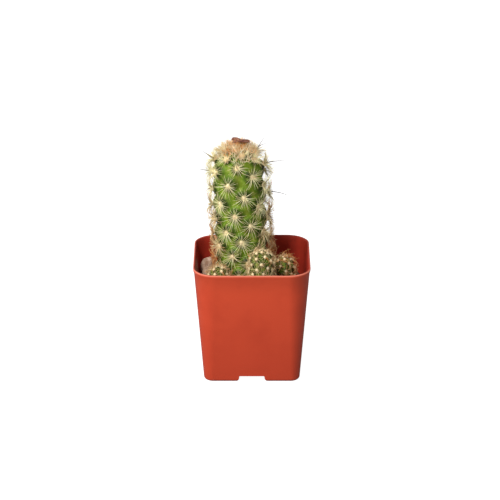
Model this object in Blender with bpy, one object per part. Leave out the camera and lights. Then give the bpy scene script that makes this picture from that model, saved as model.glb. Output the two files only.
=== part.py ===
"""A small columnar cactus with three offsets, in a square plastic nursery pot with potting mix and grit.

Metres, +Z up. The origin is on the surface that the pot stands on, under the middle of its rim.
The pot's front is at -Y.
"""

import math

import bmesh
import bpy
import numpy as np
from mathutils import Matrix, Vector

MM = 0.001
GAP = 0.3 * MM  # clearance between pieces that touch

# Pot: a thin tapered square shell whose walls run down into four corner feet.
RIM_WIDTH = 57.0 * MM
RIM_LIP = 0.3 * MM  # how far the rim turns out on each side
LIP_HEIGHT = 2.0 * MM
BASE_WIDTH = 46.8 * MM
POT_HEIGHT = 57.7 * MM
WALL = 1.0 * MM
RIM_CORNER = 11.0 * MM
BASE_CORNER = 4.5 * MM
BASE_FILLET = 1.5 * MM
CORNER_STEPS = 6
CHANNEL_HEIGHT = 3.1 * MM
CHANNEL_HALF_TOP = 6.1 * MM
FOOT_ROUND = 2.3 * MM  # round of each foot's edge, seen from the side
CHANNEL_FLARE = 0.1 * MM
CHANNEL_HALF_BOTTOM = CHANNEL_HALF_TOP + CHANNEL_FLARE + FOOT_ROUND
DRAIN_RADIUS = 2.4 * MM
DRAIN_OFFSET = 14.0 * MM

# Potting mix.
SOIL_LEVEL = 39.2 * MM
SOIL_CELLS = 20

# Phyllotaxis shared by every stem: each areole is one divergence angle round from the last.
DIVERGENCE = math.radians(-137.6)

# Main stem. Its axis leans a little to the left.
STEM_FOOT = Vector((-3.3, 2.0, 32.2)) * MM
STEM_TIP = Vector((-7.2, 1.0, 111.9)) * MM
STEM_RADIUS = 11.2 * MM
TUBERCLE_HEIGHT = 2.1 * MM
ANCHOR_HEIGHT = 59.3 * MM  # up the stem from its foot: one areole sits exactly here
ANCHOR_ANGLE = math.radians(10.1)
INTERNODE = 1.23 * MM  # rise from one areole to the next at the anchor
INTERNODE_GROWTH = 0.012  # how much that rise grows for each unit of height
CROWN_LENGTH = 21.0 * MM  # areoles crowd closer and closer within this arc length of the tip
CROWN_SHARE = 0.12  # surface of an areole at the tip, as a share of one low on the side
CROWDING = 1.6

# Spine clusters of the main stem, joined tip to tip along the five steepest spirals.
ROW_STEP = 5
ROW_LOWEST = 33.0 * MM  # above the foot; lower clusters press against the offsets
ROW_HIGHEST = 75.0 * MM
CROWN_REACH = 9.0 * MM  # the matted young spines cover this much arc round the tip
CROWN_SPIKE = 0.9 * MM
AREOLE_RADIUS = 1.15 * MM
AREOLE_DEPTH = 0.7 * MM
RAYS = 8
RAY_LENGTH = 3.2 * MM
RAY_LIFT = 1.1 * MM  # how far a ray's tip stands out beyond its base

# Long dark central spines: (angle round the stem in degrees, height above the foot and length in mm,
# how far the spine curves up by its tip as a share of its length).
CENTRAL_SPINES = (
    (-92, 75.0, 6.0, 0.12), (-84, 69.0, 6.0, 0.12), (104, 76.0, 6.5, -0.6), (84, 70.5, 8.8, -0.2),
    (95, 55.0, 9.0, -0.3), (178, 58.0, 8.0, 0.12), (-150, 66.0, 8.5, 0.12), (140, 71.0, 8.0, 0.12),
    (24, 74.0, 5.5, 0.12), (150, 46.0, 8.0, 0.12),
)
CENTRAL_RADIUS = 0.16 * MM
FLOWER_LIFT = 4.7 * MM  # above the stem tip, clear of the spikes of the crown
FLOWER_SHIFT = 1.0 * MM  # of both flowers, from the tip towards the stem's right
FLOWER_SPACING = 1.6  # each flower's distance in mm to the front or back of the tip
FLOWER_SAG = 2.2  # how strongly a flower droops towards its ends

# Offsets: (name, foot, tip, radius, number of spikes round its spine cover).
OFFSETS = (
    ("offset_front_right", Vector((3.4, -17.0, 33.2)), Vector((5.0, -18.2, 65.8)), 4.9, 9),
    ("offset_right", Vector((14.6, -2.6, 33.2)), Vector((16.0, -3.6, 57.4)), 4.6, 9),
    ("offset_front_left", Vector((-15.4, -12.2, 33.2)), Vector((-16.4, -13.0, 55.6)), 4.2, 8),
)
OFFSET_TUBERCLE = 0.7 * MM
OFFSET_INTERNODE = 0.42 * MM
COVER_THICKNESS = 0.5 * MM
COVER_SPIKE = 1.5 * MM

# Stones: (place, semi-axes, turn about Z in degrees), the last two in millimetres and degrees.
STONES = (
    (Vector((-21.6, 11.4, 45.2)), (4.0, 4.4, 6.6), 20),
    (Vector((-22.2, 2.0, 44.8)), (2.9, 3.2, 5.6), -35),
    (Vector((-14.0, 20.4, 41.4)), (3.8, 3.4, 3.0), 60),
    (Vector((18.4, 13.0, 40.0)), (4.2, 3.2, 2.8), 15),
    (Vector((4.4, 20.8, 40.0)), (3.4, 2.8, 2.6), 80),
    (Vector((18.6, -18.0, 39.8)), (3.0, 3.4, 2.4), -20),
    (Vector((-7.6, -21.6, 40.0)), (3.4, 2.6, 2.2), 40),
)


def clear_scene():
    for obj in list(bpy.data.objects):
        bpy.data.objects.remove(obj, do_unlink=True)


def collection(name):
    made = bpy.data.collections.new(name)
    bpy.context.scene.collection.children.link(made)
    return made


def material(name, colour, roughness, metallic=0.0):
    made = bpy.data.materials.new(name)
    made.use_nodes = True
    shader = made.node_tree.nodes["Principled BSDF"]
    shader.inputs["Base Color"].default_value = (*colour, 1.0)
    shader.inputs["Roughness"].default_value = roughness
    shader.inputs["Metallic"].default_value = metallic
    return made


def add_object(name, data, home, finish=None):
    obj = bpy.data.objects.new(name, data)
    home.objects.link(obj)
    if finish:
        data.materials.append(finish)
    return obj


def mesh_object(name, bm, home, finish=None, smooth_angle=40.0):
    """Turns a bmesh into an object with its faces pointing out."""
    bmesh.ops.recalc_face_normals(bm, faces=bm.faces)
    mesh = bpy.data.meshes.new(name)
    bm.to_mesh(mesh)
    bm.free()
    mesh.shade_smooth()
    mesh.set_sharp_from_angle(angle=math.radians(smooth_angle))
    return add_object(name, mesh, home, finish)


def cutter(obj):
    obj.hide_render = True
    obj.display_type = "WIRE"
    return obj


def cut(obj, *tools):
    for tool in tools:
        boolean = obj.modifiers.new("cut_" + tool.name, "BOOLEAN")
        boolean.operation = "DIFFERENCE"
        boolean.object = tool


# ---- Pot ----------------------------------------------------------------------------------------


def lerp(a, b, share):
    return a + (b - a) * share


def square_ring(bm, half, corner, height):
    """One closed ring of vertices: a square with round corners."""
    ring = []
    for quarter in range(4):
        turn = quarter * math.pi / 2
        centre = Vector((half - corner, half - corner, height))
        for step in range(CORNER_STEPS + 1):
            angle = step / CORNER_STEPS * math.pi / 2
            point = centre + Vector((math.cos(angle), math.sin(angle), 0)) * corner
            ring.append(bm.verts.new(Matrix.Rotation(turn, 3, "Z") @ point))
    return ring


def tapered_block(name, inset, top, home):
    """The pot's outer form moved inwards by inset on every side and underneath, as a closed block."""
    bm = bmesh.new()
    fillet = BASE_FILLET - inset
    levels = [inset + fillet * (1 - math.cos(step * math.pi / 10)) for step in range(6)]
    levels += [z for z in (POT_HEIGHT / 2, POT_HEIGHT - LIP_HEIGHT, POT_HEIGHT) if z < top]
    rings = []
    for level in levels + [top]:
        share = level / POT_HEIGHT
        pulled_in = fillet - math.sqrt(fillet**2 - max(fillet - level + inset, 0) ** 2)
        turned_out = RIM_LIP * min(max((level - POT_HEIGHT) / LIP_HEIGHT + 1, 0), 1)
        width = lerp(BASE_WIDTH, RIM_WIDTH - 2 * RIM_LIP, share)
        half = width / 2 - inset - pulled_in + turned_out
        corner = lerp(BASE_CORNER, RIM_CORNER, share) - inset
        rings.append(square_ring(bm, half, corner, level))
    count = len(rings[0])
    for low, high in zip(rings, rings[1:]):
        for i in range(count):
            j = (i + 1) % count
            bm.faces.new((low[i], low[j], high[j], high[i]))
    bm.faces.new(rings[0])
    bm.faces.new(rings[-1])
    return mesh_object(name, bm, home)


def channel_bar(name, grow, turn, home):
    """The straight channel under the pot, as a bar; grow widens it by a wall's thickness."""
    radius = FOOT_ROUND - grow
    side = [(CHANNEL_HALF_BOTTOM, -2 * MM), (CHANNEL_HALF_BOTTOM, grow)]
    for step in range(1, 5):
        angle = step / 4 * math.pi / 2
        across = CHANNEL_HALF_BOTTOM - radius * math.sin(angle)
        side.append((across, FOOT_ROUND - radius * math.cos(angle)))
    side.append((CHANNEL_HALF_TOP + grow, CHANNEL_HEIGHT + grow))
    outline = side + [(-x, z) for x, z in reversed(side)]
    bm = bmesh.new()
    bm.faces.new([bm.verts.new((x, -RIM_WIDTH, z)) for x, z in outline])
    swept = bmesh.ops.extrude_face_region(bm, geom=bm.faces[:])
    far = [v for v in swept["geom"] if isinstance(v, bmesh.types.BMVert)]
    bmesh.ops.translate(bm, verts=far, vec=(0, 2 * RIM_WIDTH, 0))
    bmesh.ops.rotate(bm, verts=bm.verts, matrix=Matrix.Rotation(turn, 3, "Z"))
    return cutter(mesh_object(name, bm, home))


def drain_hole(name, x, y, home):
    bm = bmesh.new()
    bmesh.ops.create_cone(bm, cap_ends=True, segments=16, radius1=DRAIN_RADIUS,
                          radius2=DRAIN_RADIUS, depth=6 * MM)
    bmesh.ops.translate(bm, verts=bm.verts, vec=(x, y, CHANNEL_HEIGHT))
    return cutter(mesh_object(name, bm, home))


def pot_form(name, inset, top, home):
    """A tapered block with the two crossing channels taken out of its underside."""
    block = tapered_block(name, inset, top, home)
    for turn, axis in ((0, "y"), (math.pi / 2, "x")):
        cut(block, channel_bar(f"{name}_channel_{axis}", inset, turn, cutters))
    return block


def make_pot():
    pot = pot_form("pot", 0.0, POT_HEIGHT, parts)
    pot.data.materials.append(material("terracotta_plastic", (0.50, 0.075, 0.032), 0.45))
    cut(pot, cutter(pot_form("pot_inside", WALL, POT_HEIGHT + 4 * MM, cutters)))
    places = [(0, 0), (DRAIN_OFFSET, 0), (-DRAIN_OFFSET, 0), (0, DRAIN_OFFSET), (0, -DRAIN_OFFSET)]
    for number, (x, y) in enumerate(places, 1):
        cut(pot, drain_hole(f"drain_hole_{number}", x, y, cutters))


# ---- Stems --------------------------------------------------------------------------------------


class Stem:
    """A column on a straight axis from foot to tip, with a domed top and areoles on a spiral.

    A place on it is (s, angle): s is the arc length down from the tip along the side, and angle
    goes round the axis from the front (-Y) towards the right (+X).
    """

    def __init__(self, foot, tip, radius, internode, growth=0.0):
        self.foot, self.tip, self.radius = foot, tip, radius
        self.length = (tip - foot).length
        self.up = (tip - foot).normalized()
        self.right = Vector((0, 1, 0)).cross(self.up).normalized()
        self.front = self.right.cross(self.up).normalized()
        self.internode, self.growth = internode, growth
        self.dome = radius * math.pi / 2

    def profile(self, s):
        """(distance from the axis, height above the foot, outward slope) at arc length s."""
        if s < self.dome:
            slope = s / self.radius
            height = self.length - self.radius * (1 - math.cos(slope))
            return self.radius * math.sin(slope), height, slope
        height = self.length - self.radius - (s - self.dome)
        narrowing = 0.22 * max(0.0, 1 - max(height, 0.0) / (8 * MM)) ** 2
        return self.radius * (1 - narrowing), height, math.pi / 2

    def frame(self, s, angle):
        """(point on the plain surface, outward normal, direction towards the tip)."""
        distance, height, slope = self.profile(s)
        out = self.front * math.cos(angle) + self.right * math.sin(angle)
        point = self.foot + self.up * height + out * distance
        normal = out * math.sin(slope) + self.up * math.cos(slope)
        return point, normal, self.up * math.sin(slope) - out * math.cos(slope)

    def areoles(self, anchor_height, anchor_angle):
        """[(s, angle)] from the tip down, one of them at the anchor.

        Each areole has the same share of the surface, less in the crown, where they crowd.
        """
        step = 0.05 * MM
        arc, counts = [0.0], [0.0]
        anchor_s = self.dome + self.length - self.radius - anchor_height
        while arc[-1] < self.dome + self.length - self.radius:
            s = arc[-1] + step
            distance, height, _ = self.profile(s)
            rise = self.internode + self.growth * (height - anchor_height)
            crowding = lerp(CROWN_SHARE, 1.0, min(s / CROWN_LENGTH, 1.0) ** CROWDING)
            arc.append(s)
            counts.append(counts[-1] + step * distance / self.radius / (rise * crowding))
        anchor_count = float(np.interp(anchor_s, arc, counts))
        first = -math.floor(anchor_count)
        last = math.floor(counts[-1] - anchor_count)
        return [
            (float(np.interp(anchor_count + n, counts, arc)), anchor_angle + n * DIVERGENCE)
            for n in range(first, last + 1)
        ]


def stem_mesh(name, stem, places, bump, segments, rings, home, finish=None, grow=0.0):
    """The stem's closed surface, raised into a round tubercle under each areole."""
    bm = bmesh.new()
    bmesh.ops.create_uvsphere(bm, u_segments=segments, v_segments=rings, radius=1.0)
    total = stem.dome + stem.length - stem.radius
    side_end = (rings - 2) / rings
    spots = np.array([stem.frame(s, angle)[0] for s, angle in places]) if places else None
    for vert in bm.verts:
        down = math.acos(max(-1.0, min(1.0, vert.co.z))) / math.pi
        angle = math.atan2(vert.co.x, -vert.co.y)
        s = total * min(down / side_end, 1.0)
        point, normal, _ = stem.frame(s, angle)
        _, height, _ = stem.profile(s)
        raised = grow
        if spots is not None and down <= side_end:
            near = np.linalg.norm(spots - np.array(point), axis=1).min()
            spread = bump * 2.3
            clear_of_soil = min(max((height - (SOIL_LEVEL - stem.foot.z) - 1 * MM) / (3 * MM), 0), 1)
            raised += bump * clear_of_soil * max(0.0, 1 - (near / spread) ** 2) ** 1.5
        if down > side_end + 1e-6:  # the flat underside of the foot
            inward = (1.0 - down) / (1.0 - side_end)
            axis_point = stem.foot + stem.up * height
            point = axis_point + (point - axis_point) * inward
            vert.co = point - stem.up * grow
        else:
            vert.co = point + normal * raised
    return mesh_object(name, bm, home, finish, smooth_angle=60.0)


# ---- Spines -------------------------------------------------------------------------------------


def areole_base(stem, place, bump):
    """Where an areole's pad stands on its tubercle: (centre, normal, up, right)."""
    point, normal, up = stem.frame(*place)
    return point + normal * (bump + GAP), normal, up, up.cross(normal)


def spine_row(name, stem, places, home, finish):
    """A row of areole pads with spines like rays, each pad joined to the next by a shared spine."""
    bm = bmesh.new()
    pads = []
    for place in places:
        centre, normal, up, right = areole_base(stem, place, TUBERCLE_HEIGHT)
        rings = []
        for lift in (0.0, AREOLE_DEPTH):
            ring = []
            for ray in range(RAYS * 2):
                angle = ray / RAYS * math.pi
                out = right * math.cos(angle) + up * math.sin(angle)
                ring.append(bm.verts.new(centre + normal * lift + out * AREOLE_RADIUS))
            rings.append(ring)
        pads.append((centre, normal, rings))

    def side_facing(pad, target):
        """The side face of a pad that looks most directly at a point."""
        centre, _, (low, _) = pad
        ways = [((low[i].co + low[i - 1].co) / 2 - centre).dot(target - centre) for i in range(len(low))]
        return max(range(len(low)), key=lambda i: ways[i])

    joined = []
    for number, pad in enumerate(pads):
        neighbours = pads[max(number - 1, 0):number] + pads[number + 1:number + 2]
        joined.append([side_facing(pad, neighbour[0]) for neighbour in neighbours])
    for number, (centre, normal, (low, high)) in enumerate(pads):
        bm.faces.new(low)
        bm.faces.new(high)
        for i in range(len(low)):
            quad = (low[i - 1], low[i], high[i], high[i - 1])
            if i in joined[number]:
                continue
            if i % 2 == 0:
                bm.faces.new(quad)
                continue
            middle = sum((v.co for v in quad), Vector()) / 4
            out = (middle - centre - normal * AREOLE_DEPTH / 2).normalized()
            tip = bm.verts.new(middle + out * RAY_LENGTH + normal * RAY_LIFT)
            for a, b in zip(quad, quad[1:] + quad[:1]):
                bm.faces.new((a, b, tip))
    for number in range(len(pads) - 1):
        ends = []
        for here, side in ((number, joined[number][-1]), (number + 1, joined[number + 1][0])):
            low, high = pads[here][2]
            ends.append([low[side - 1], low[side], high[side], high[side - 1]])
        first, second = ends
        second = [second[1], second[0], second[3], second[2]]
        for k in range(4):
            m = (k + 1) % 4
            bm.faces.new((first[k], first[m], second[m], second[k]))
    return mesh_object(name, bm, home, finish, smooth_angle=30.0)


def spine_cover(name, stem, reach, lift, around, spike, home, finish):
    """A thin cap over a stem's tip whose outer faces rise into spikes: its matted spines."""
    bm = bmesh.new()
    rows = 4
    tip_ring_s = reach / rows / 2
    shells = []
    for rise in (lift, lift + COVER_THICKNESS):
        rings = []
        for row in range(rows + 1):
            s = tip_ring_s + (reach - tip_ring_s) * row / rows
            ring = []
            for i in range(around):
                angle = (i + 0.5 * (row % 2)) / around * math.tau
                point, normal, _ = stem.frame(s, angle)
                ring.append(bm.verts.new(point + normal * rise))
            rings.append(ring)
        shells.append(rings)
    inner, outer = shells
    spiked = []
    for rings, is_outer in ((inner, False), (outer, True)):
        for row, (upper, lower) in enumerate(zip(rings, rings[1:])):
            shift = row % 2
            for i in range(around):
                j = (i + 1) % around
                if shift:
                    pair = ((upper[i], upper[j], lower[j]), (upper[i], lower[j], lower[i]))
                else:
                    pair = ((upper[i], upper[j], lower[i]), (upper[j], lower[j], lower[i]))
                for corners in pair:
                    face = bm.faces.new(corners)
                    if is_outer and corners is pair[0]:
                        spiked.append(face)
        face = bm.faces.new(rings[0])
        if is_outer:
            spiked.append(face)
    for i in range(around):
        j = (i + 1) % around
        bm.faces.new((inner[-1][i], inner[-1][j], outer[-1][j], outer[-1][i]))
    for face in spiked:
        centre = face.calc_center_median()
        height = (centre - stem.foot).dot(stem.up)
        axis_point = stem.foot + stem.up * min(height, stem.length - stem.radius)
        tip = bm.verts.new(centre + (centre - axis_point).normalized() * spike)
        corners = list(face.verts)
        bm.faces.remove(face)
        for a, b in zip(corners, corners[1:] + corners[:1]):
            bm.faces.new((a, b, tip))
    return mesh_object(name, bm, home, finish, smooth_angle=30.0)


def tapered_wire(name, points, radii, home, finish):
    """A thin pointed spine or shrivelled stalk: a curve with a bevel."""
    curve = bpy.data.curves.new(name, "CURVE")
    curve.dimensions = "3D"
    curve.bevel_depth = 1.0
    curve.bevel_resolution = 0
    curve.use_fill_caps = True
    spline = curve.splines.new("POLY")
    spline.points.add(len(points) - 1)
    for target, point, radius in zip(spline.points, points, radii):
        target.co = (*point, 1.0)
        target.radius = radius
    return add_object(name, curve, home, finish)


def make_central_spines(stem, places, finish):
    taken = set()
    for number, (degrees, height, length, rise) in enumerate(CENTRAL_SPINES, 1):
        way = stem.front * math.cos(math.radians(degrees)) + stem.right * math.sin(math.radians(degrees))
        target = stem.foot + stem.up * height * MM + way * stem.radius
        order = sorted(
            (i for i in range(len(places)) if i not in taken),
            key=lambda i: (stem.frame(*places[i])[0] - target).length,
        )
        taken.add(order[0])
        centre, normal, up, _ = areole_base(stem, places[order[0]], TUBERCLE_HEIGHT)
        start = centre + normal * (AREOLE_DEPTH + GAP)
        path, radii = [], []
        for step in range(4):
            share = step / 3
            path.append(start + (normal * share + up * rise * share**2) * length * MM)
            radii.append(CENTRAL_RADIUS * lerp(1.0, 0.25, share))
        tapered_wire(f"central_spine_{number:02d}", path, radii, parts, finish)


def make_dried_flowers(stem, finish):
    """Two shrivelled flower tubes that lie across the crown's matted spines."""
    top = stem.tip + stem.up * FLOWER_LIFT + stem.right * FLOWER_SHIFT
    for number, (turn, length, side) in enumerate(((12, 8.0, 1.0), (150, 5.0, -1.0)), 1):
        way = stem.right * math.cos(math.radians(turn)) - stem.front * math.sin(math.radians(turn))
        path, radii = [], []
        for step in range(5):
            share = step / 4
            along = way * (share - 0.35) * length * MM
            across = stem.front * FLOWER_SPACING * side * MM
            sag = -stem.up * FLOWER_SAG * (share - 0.35) ** 2 * MM
            path.append(top + along + across + sag)
            radii.append((0.35 + 0.45 * math.sin(share * math.pi)) * MM)
        tapered_wire(f"dried_flower_{number}", path, radii, parts, finish)


# ---- Ground -------------------------------------------------------------------------------------


def soil_height(x, y):
    """The potting mix is lumpy and lies higher against the left wall."""
    lumps = 0.7 * math.sin(x / (3.1 * MM) + 0.6) * math.cos(y / (3.7 * MM))
    lumps += 0.4 * math.sin(x / (1.9 * MM) - y / (2.3 * MM))
    return SOIL_LEVEL + (lumps - 1.4 * x / RIM_WIDTH) * MM


def air_over_soil(home):
    """What is above the potting mix, as a block with a lumpy underside."""
    bm = bmesh.new()
    half = RIM_WIDTH * 0.55
    bmesh.ops.create_grid(bm, x_segments=SOIL_CELLS, y_segments=SOIL_CELLS, size=half)
    floor = bm.verts[:]
    lifted = bmesh.ops.extrude_face_region(bm, geom=bm.faces[:])
    roof = [v for v in lifted["geom"] if isinstance(v, bmesh.types.BMVert)]
    for vert in roof:
        vert.co.z = POT_HEIGHT + 10 * MM
    for vert in floor:
        vert.co.z = soil_height(vert.co.x, vert.co.y)
    return cutter(mesh_object("air_over_soil", bm, home))


def stone_mesh(name, place, axes, turn, home, finish=None, grow=0.0):
    """A rounded angular chip: an icosphere pulled in and out by a fixed pattern."""
    bm = bmesh.new()
    bmesh.ops.create_icosphere(bm, subdivisions=2, radius=1.0)
    for vert in bm.verts:
        way = vert.co.normalized()
        ridge = math.sin(5.1 * way.x + place.x) * math.cos(4.3 * way.y + place.y)
        ridge += 0.6 * math.sin(6.7 * way.z + place.z * 1.7)
        size = 1 + 0.10 * ridge
        vert.co = Vector([way[i] * (axes[i] * size * MM + grow) for i in range(3)])
    spin = Matrix.Rotation(math.radians(turn), 3, "Z") @ Matrix.Rotation(0.3, 3, "X")
    bmesh.ops.rotate(bm, verts=bm.verts, matrix=spin)
    bmesh.ops.translate(bm, verts=bm.verts, vec=place * MM)
    return mesh_object(name, bm, home, finish, smooth_angle=35.0)


def make_soil(sockets):
    soil = pot_form("potting_mix", WALL + GAP, SOIL_LEVEL + 8 * MM, parts)
    soil.data.materials.append(material("potting_mix", (0.045, 0.028, 0.018), 0.95))
    cut(soil, air_over_soil(cutters), *sockets)


# ---- The whole plant ----------------------------------------------------------------------------


clear_scene()
parts = collection("potted_cactus")
cutters = collection("cutters")
skin = material("cactus_skin", (0.16, 0.27, 0.045), 0.5)
spine_white = material("radial_spines", (0.80, 0.74, 0.58), 0.6)
spine_dark = material("central_spines", (0.13, 0.07, 0.055), 0.5)
spine_tan = material("tan_spines", (0.62, 0.38, 0.18), 0.6)
husk = material("dried_flower", (0.17, 0.055, 0.035), 0.7)
stone_finish = material("pumice", (0.48, 0.33, 0.25), 0.9)

make_pot()
sockets = []

main = Stem(STEM_FOOT, STEM_TIP, STEM_RADIUS, INTERNODE, INTERNODE_GROWTH)
main_areoles = main.areoles(ANCHOR_HEIGHT, ANCHOR_ANGLE)
stem_mesh("main_stem", main, main_areoles, TUBERCLE_HEIGHT, 44, 48, parts, skin)
sockets.append(cutter(stem_mesh("main_socket", main, [], 0, 44, 48, cutters, grow=GAP)))

for row in range(ROW_STEP):
    in_row = [
        (s, angle) for s, angle in main_areoles[row::ROW_STEP]
        if ROW_LOWEST < main.profile(s)[1] < ROW_HIGHEST
    ]
    spine_row(f"main_spine_row_{row + 1}", main, in_row, parts, spine_white)
lift = TUBERCLE_HEIGHT + GAP
spine_cover("crown_spines", main, CROWN_REACH, lift, 12, CROWN_SPIKE, parts, spine_tan)
make_central_spines(main, main_areoles, spine_dark)
make_dried_flowers(main, husk)

for name, foot, tip, radius, around in OFFSETS:
    offset = Stem(foot * MM, tip * MM, radius * MM, OFFSET_INTERNODE)
    grown = offset.areoles(offset.length / 2, 0.0)
    stem_mesh(name, offset, grown, OFFSET_TUBERCLE, 18, 18, parts, skin)
    sockets.append(cutter(stem_mesh(name + "_socket", offset, [], 0, 18, 18, cutters, grow=GAP)))
    reach = offset.dome + 2.5 * MM
    lift = OFFSET_TUBERCLE + GAP
    spine_cover(name + "_spines", offset, reach, lift, around, COVER_SPIKE, parts, spine_tan)

for number, (place, axes, turn) in enumerate(STONES, 1):
    stone_mesh(f"stone_{number}", place, axes, turn, parts, stone_finish)
    dent = stone_mesh(f"stone_{number}_dent", place, axes, turn, cutters, grow=GAP)
    sockets.append(cutter(dent))

make_soil(sockets)
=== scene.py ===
# %% [markdown]
# # A small column cactus in a square nursery pot
#
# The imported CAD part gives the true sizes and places. This script dresses it: the same stems,
# spines, stones, soil and pot are made again with the detail that the eye wants, and each new
# piece stands for the CAD solids that it covers. Everything is in metres, with Z up and the pot's
# front towards -Y.

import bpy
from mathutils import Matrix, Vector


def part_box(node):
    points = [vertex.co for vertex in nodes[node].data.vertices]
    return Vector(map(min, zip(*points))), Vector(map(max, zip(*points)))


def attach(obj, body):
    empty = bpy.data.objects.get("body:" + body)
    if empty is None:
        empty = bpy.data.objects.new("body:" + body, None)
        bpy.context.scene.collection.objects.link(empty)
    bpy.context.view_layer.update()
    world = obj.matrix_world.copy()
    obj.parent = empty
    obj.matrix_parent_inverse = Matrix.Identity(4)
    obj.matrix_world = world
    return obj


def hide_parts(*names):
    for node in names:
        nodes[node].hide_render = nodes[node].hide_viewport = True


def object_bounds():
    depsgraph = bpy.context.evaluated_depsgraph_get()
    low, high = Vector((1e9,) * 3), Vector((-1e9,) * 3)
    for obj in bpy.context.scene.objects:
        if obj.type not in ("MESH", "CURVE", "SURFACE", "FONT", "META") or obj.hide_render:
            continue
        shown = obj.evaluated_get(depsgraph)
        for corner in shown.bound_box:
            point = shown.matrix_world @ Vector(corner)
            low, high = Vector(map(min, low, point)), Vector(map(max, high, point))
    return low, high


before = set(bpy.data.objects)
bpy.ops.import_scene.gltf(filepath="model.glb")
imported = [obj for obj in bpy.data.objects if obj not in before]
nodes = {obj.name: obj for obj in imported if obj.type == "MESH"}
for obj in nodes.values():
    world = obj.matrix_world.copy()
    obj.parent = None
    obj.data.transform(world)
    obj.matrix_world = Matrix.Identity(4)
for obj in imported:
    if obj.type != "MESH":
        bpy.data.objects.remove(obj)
cad_low, cad_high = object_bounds()
print("the part is", [round((high - low) * 1000, 1) for low, high in zip(cad_low, cad_high)], "mm")

# %% Other tools of the trade
import math

import bmesh
import bpy
import numpy as np
from mathutils import Matrix, Vector, noise

MM = 0.001
scene = bpy.context.scene
rng = np.random.default_rng(11)
print(len(nodes), "CAD nodes")


# %% [markdown]
# ## From a bmesh to a finished piece
#
# Every piece ends the same way: its bmesh becomes a mesh, is shaded smooth except at real edges,
# gets its finish, and is told which body it rides on and which CAD nodes it stands for. One helper
# does that, so no piece can miss a step.


# %% Helper: finish a piece
def mesh_from(name, bm):
    mesh = bpy.data.meshes.new(name)
    bm.to_mesh(mesh)
    bm.free()
    return mesh


def new_object(name, data):
    obj = bpy.data.objects.new(name, data)
    scene.collection.objects.link(obj)
    return obj


def finish_piece(name, bm, finish, stands_for=(), sharp=60.0, turn_out=True):
    """Copies of a closed shape face outwards already, and leave turn_out off to save time."""
    if turn_out:
        bmesh.ops.recalc_face_normals(bm, faces=bm.faces)
    mesh = mesh_from(name, bm)
    mesh.shade_smooth()
    mesh.set_sharp_from_angle(angle=math.radians(sharp))
    mesh.materials.append(finish)
    obj = new_object(name, mesh)
    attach(obj, "root")
    if stands_for:
        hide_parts(*stands_for)
    print(name, "has", len(mesh.polygons), "faces")


def lerp(a, b, share):
    return a + (b - a) * share


def clamp(value):
    return min(1.0, max(0.0, value))


# %% [markdown]
# ## Building materials
#
# A finish is a small network of nodes. This helper adds one node, sets its options and fills its
# inputs with numbers or with links, so that a network reads from top to bottom like a recipe.


# %% Helper: add a shader node
def node(tree, kind, inputs=None, **options):
    made = tree.nodes.new(kind)
    for key, value in options.items():
        setattr(made, key, value)
    for socket, value in (inputs or {}).items():
        if isinstance(value, bpy.types.NodeSocket):
            tree.links.new(value, made.inputs[socket])
        else:
            made.inputs[socket].default_value = value
    return made


def mix(tree, share, a, b, blend="MIX"):
    """A colour mix; share, a and b are numbers, colours or sockets."""
    a, b = (c if isinstance(c, bpy.types.NodeSocket) else (*c, 1.0) for c in (a, b))
    made = node(tree, "ShaderNodeMix", {0: share, 6: a, 7: b}, data_type="RGBA", blend_type=blend)
    return made.outputs[2]


def ramp(tree, share, stops):
    """A colour ramp through (place, colour) stops."""
    made = node(tree, "ShaderNodeValToRGB", {0: share})
    elements = made.color_ramp.elements
    for element, (place, colour) in zip((elements[0], elements[1]), (stops[0], stops[-1])):
        element.position = place
        element.color = (*colour, 1.0)
    for place, colour in stops[1:-1]:
        elements.new(place).color = (*colour, 1.0)
    return made.outputs["Color"]


def new_finish(name):
    """A material, its tree, its Principled BSDF and the piece's own coordinates."""
    made = bpy.data.materials.new(name)
    made.use_nodes = True
    tree = made.node_tree
    place = node(tree, "ShaderNodeTexCoord").outputs["Object"]
    return made, tree, tree.nodes["Principled BSDF"], place


# %% [markdown]
# ## Two effects that every finish uses
#
# Nothing on a real plant or pot has one even colour. The first group gives a soft mottled mask at
# any scale; the second gives a fine uneven height for a Bump node, coarse lumps with finer grain
# on top. As node groups they are built once, and each material places them with its own values.


# %% Group: mottled mask
def new_group(name, numbers, result):
    """(group, its inputs): a vector and some numbers go in, and one number comes out."""
    group = bpy.data.node_groups.new(name, "ShaderNodeTree")
    face = group.interface
    face.new_socket("Vector", in_out="INPUT", socket_type="NodeSocketVector")
    for number in numbers:
        face.new_socket(number, in_out="INPUT", socket_type="NodeSocketFloat")
    face.new_socket(result, in_out="OUTPUT", socket_type="NodeSocketFloat")
    return group, group.nodes.new("NodeGroupInput").outputs


def make_mottle():
    group, way_in = new_group("mottle", ("Scale", "Detail", "Low", "High"), "Mask")
    cloud = node(group, "ShaderNodeTexNoise", {
        "Vector": way_in["Vector"], "Scale": way_in["Scale"], "Detail": way_in["Detail"]})
    spread = node(group, "ShaderNodeMapRange", {
        "Value": cloud.outputs["Fac"], "From Min": way_in["Low"], "From Max": way_in["High"]})
    node(group, "NodeGroupOutput", {"Mask": spread.outputs["Result"]})
    return group


mottle_group = make_mottle()


def mottle(tree, place, scale, low=0.35, high=0.65, detail=3.0):
    made = node(tree, "ShaderNodeGroup", {
        "Vector": place, "Scale": scale, "Detail": detail, "Low": low, "High": high,
    }, node_tree=mottle_group)
    return made.outputs["Mask"]


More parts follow.
